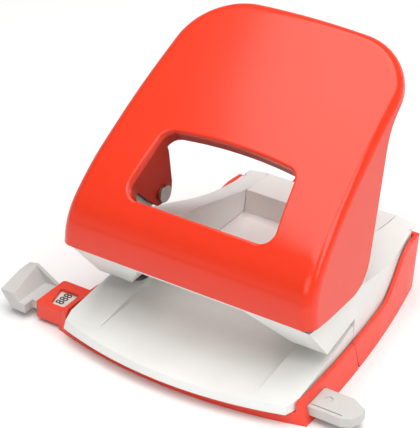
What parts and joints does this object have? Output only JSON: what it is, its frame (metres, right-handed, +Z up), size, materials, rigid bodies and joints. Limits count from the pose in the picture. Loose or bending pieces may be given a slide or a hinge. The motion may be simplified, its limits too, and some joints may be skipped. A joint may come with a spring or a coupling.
{
  "type": "desk hole punch",
  "caption": "Desk punch with a pressed lever handle on a grey body, a bowed red base with an opening chip tray and a sliding paper guide.",
  "frame": {"origin": "on the table, below the midpoint of the two punch axes", "axes": "+X along the row of punches to the right as the user faces it, +Y to the rear, +Z up"},
  "size_m": [0.1534, 0.1225, 0.1096],
  "materials": {
    "red_metal": "gloss",
    "red_plastic": "gloss",
    "grey_plastic": "satin",
    "pale_plastic": "satin",
    "steel": "satin",
    "punch_steel": "polished",
    "spring_steel": "satin",
    "rubber": "matte",
    "label_paper": "matte"
  },
  "bodies": {
    "base": {"axle_clips": "spring_steel", "base_shell": "red_plastic", "body_cover": "grey_plastic", "centre_cover": "grey_plastic", "deck_plate": "grey_plastic", "detent_spring": "spring_steel", "die_left": "steel", "die_right": "steel", "frame_screws": "steel", "front_pads": "rubber", "guide_bush_left": "steel", "guide_bush_right": "steel", "pivot_axle": "steel", "punch_frame_left": "steel", "punch_frame_right": "steel", "return_spring_left": "spring_steel", "return_spring_right": "spring_steel", "tray_hinge_pins": "steel"},
    "handle": {"handle_shell": "red_metal", "lever_bracket": "steel", "drive_pin_left": "steel", "drive_pin_right": "steel"},
    "punch_left": {"punch_left": "punch_steel", "punch_cap_left": "punch_steel"},
    "punch_right": {"punch_right": "punch_steel", "punch_cap_right": "punch_steel"},
    "guide": {"guide_bar": "pale_plastic", "format_label": "label_paper"},
    "tray": {"chip_tray": "red_plastic", "rear_pads": "rubber"}
  },
  "joints": [
    {"name": "handle_hinge", "type": "hinge", "parent": "base", "child": "handle", "pos_m": [0, -0.0165, 0.05], "axis": [-1, 0, 0], "range_deg": [0, 24], "stiffness_Nm_per_rad": 0.75, "springref_deg": -29.79},
    {"name": "punch_left_slide", "type": "slide", "parent": "base", "child": "punch_left", "axis": [0, 0, -1], "range_m": [0, 0.0081], "deforming": ["return_spring_left"]},
    {"name": "punch_right_slide", "type": "slide", "parent": "base", "child": "punch_right", "axis": [0, 0, -1], "range_m": [0, 0.0081], "deforming": ["return_spring_right"]},
    {"name": "guide_slide", "type": "slide", "parent": "base", "child": "guide", "axis": [-1, 0, 0], "range_m": [0, 0.08]},
    {"name": "tray_hinge", "type": "hinge", "parent": "base", "child": "tray", "pos_m": [0, 0.0176, 0.0028], "axis": [-1, 0, 0], "range_deg": [0, 60]}
  ],
  "couplings": [
    {"joint": "punch_left_slide", "follows": "handle_hinge", "m_per_rad": 0.01927},
    {"joint": "punch_right_slide", "follows": "handle_hinge", "m_per_rad": 0.01927}
  ]
}
